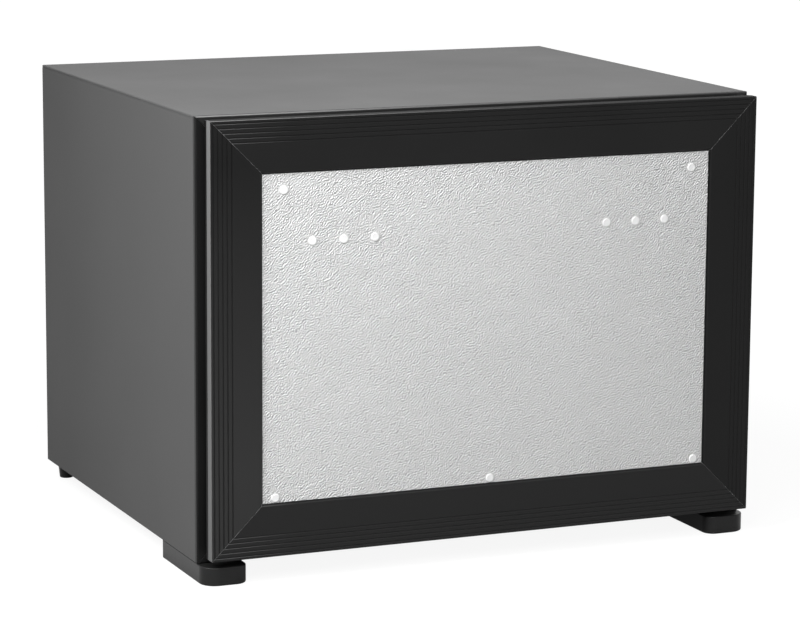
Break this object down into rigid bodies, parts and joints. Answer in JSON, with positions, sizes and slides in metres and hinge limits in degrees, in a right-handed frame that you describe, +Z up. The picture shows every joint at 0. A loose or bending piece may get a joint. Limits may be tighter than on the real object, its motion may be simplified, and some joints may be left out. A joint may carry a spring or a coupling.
{
  "type": "drawer minibar fridge",
  "caption": "Box-shaped drawer minibar cooler with a grooved black frame front, an embossed panel ready for a furniture front, a sliding tub and an absorption unit behind.",
  "frame": {"origin": "on the floor under the feet, midway across the overall width and the overall depth", "axes": "+Z up, the drawer front faces -Y and the drawer opens along -Y, +X to the right seen from the front"},
  "size_m": [0.55, 0.4746, 0.42],
  "materials": {
    "painted_sheet": "satin dark grey powder coat",
    "galvanised_sheet": "zinc-coated",
    "insulation": "rigid foam, sealed in",
    "white_liner": "moulded, light sheen",
    "black_trim": "satin black",
    "black_frame": "satin black, fine grain",
    "embossed_panel": "light grey, leather-like emboss",
    "white_cap": "white",
    "foot_plastic": "black, fine texture",
    "seal_rubber": "soft black",
    "magnet": "flexible magnet strip",
    "zinc_steel": "zinc-plated",
    "screw_steel": "zinc-plated",
    "tub_plastic": "light grey moulding",
    "clear_plastic": "clear, slightly frosted",
    "divider_plastic": "clear smoke plastic",
    "aluminium_fins": "natural",
    "black_steel": "semi-matt black paint",
    "circuit_board": "white solder mask",
    "control_plastic": "flame-resistant black"
  },
  "bodies": {
    "cabinet": {"cabinet_wrap": "painted_sheet", "base_plate": "galvanised_sheet", "back_panel": "galvanised_sheet", "cabinet_foam": "insulation", "inner_liner": "white_liner", "cabinet_trim_top": "black_trim", "cabinet_trim_bottom": "black_trim", "cabinet_trim_left": "black_trim", "cabinet_trim_right": "black_trim", "seal_strips": "zinc_steel", "front_feet": "foot_plastic", "rear_feet": "foot_plastic", "foot_screws": "screw_steel", "runner_anchor_plates": "galvanised_sheet", "runner_outer_channels": "zinc_steel", "runner_screws": "screw_steel", "evaporator_fins": "aluminium_fins", "evaporator_tube": "black_steel", "evaporator_block": "insulation", "drip_channel": "white_liner", "drain_hose": "clear_plastic", "drain_tray": "control_plastic", "lamp_housing": "white_liner", "lamp_lens": "clear_plastic", "lamp_board": "circuit_board", "absorber_vessel": "black_steel", "absorber_coil": "black_steel", "unit_brackets": "black_steel", "boiler_and_condenser": "black_steel", "condenser_fins": "black_steel", "boiler_jacket": "galvanised_sheet", "boiler_wool": "insulation", "heater_cartridge": "zinc_steel", "gas_exchanger": "black_steel", "control_box": "control_plastic", "control_cover": "control_plastic", "mains_inlet": "control_plastic"},
    "drawer": {"front_frame_top": "black_frame", "front_frame_bottom": "black_frame", "front_frame_left": "black_frame", "front_frame_right": "black_frame", "front_panel": "embossed_panel", "fixing_hole_caps": "white_cap", "front_foam": "insulation", "front_inner_skin": "white_liner", "front_anchor_plates": "galvanised_sheet", "front_seal": "seal_rubber", "seal_magnets": "magnet", "side_rails": "zinc_steel", "rail_screws": "screw_steel", "rail_rivets": "screw_steel", "runner_inner_channels": "zinc_steel", "drawer_tub": "tub_plastic"},
    "runner_middle_left": {"runner_middle_left": "zinc_steel"},
    "runner_middle_right": {"runner_middle_right": "zinc_steel"},
    "large_ball_cages": {"large_ball_cages": "zinc_steel"},
    "small_ball_cages": {"small_ball_cages": "zinc_steel"},
    "divider_left": {"divider_left": "divider_plastic"},
    "divider_right": {"divider_right": "divider_plastic"},
    "temperature_button": {"temperature_button": "black_trim"}
  },
  "joints": [
    {"name": "drawer_slide", "type": "slide", "parent": "cabinet", "child": "drawer", "axis": [0, -1, 0], "range_m": [0, 0.29]},
    {"name": "runner_middle_left_slide", "type": "slide", "parent": "cabinet", "child": "runner_middle_left", "axis": [0, -1, 0], "range_m": [0, 0.145]},
    {"name": "runner_middle_right_slide", "type": "slide", "parent": "cabinet", "child": "runner_middle_right", "axis": [0, -1, 0], "range_m": [0, 0.145]},
    {"name": "large_ball_cage_slide", "type": "slide", "parent": "cabinet", "child": "large_ball_cages", "axis": [0, -1, 0], "range_m": [0, 0.0725]},
    {"name": "small_ball_cage_slide", "type": "slide", "parent": "cabinet", "child": "small_ball_cages", "axis": [0, -1, 0], "range_m": [0, 0.2175]},
    {"name": "divider_left_slide", "type": "slide", "parent": "drawer", "child": "divider_left", "axis": [1, 0, 0], "range_m": [-0.055, 0.055]},
    {"name": "divider_right_slide", "type": "slide", "parent": "drawer", "child": "divider_right", "axis": [1, 0, 0], "range_m": [-0.055, 0.055]},
    {"name": "temperature_button_press", "type": "slide", "parent": "cabinet", "child": "temperature_button", "axis": [0, 0, 1], "range_m": [0, 0.0012], "stiffness_N_per_m": 600, "springref_m": -0.0005}
  ],
  "couplings": [
    {"joint": "runner_middle_left_slide", "follows": "drawer_slide", "ratio": 0.5},
    {"joint": "runner_middle_right_slide", "follows": "drawer_slide", "ratio": 0.5},
    {"joint": "large_ball_cage_slide", "follows": "drawer_slide", "ratio": 0.25},
    {"joint": "small_ball_cage_slide", "follows": "drawer_slide", "ratio": 0.75}
  ]
}
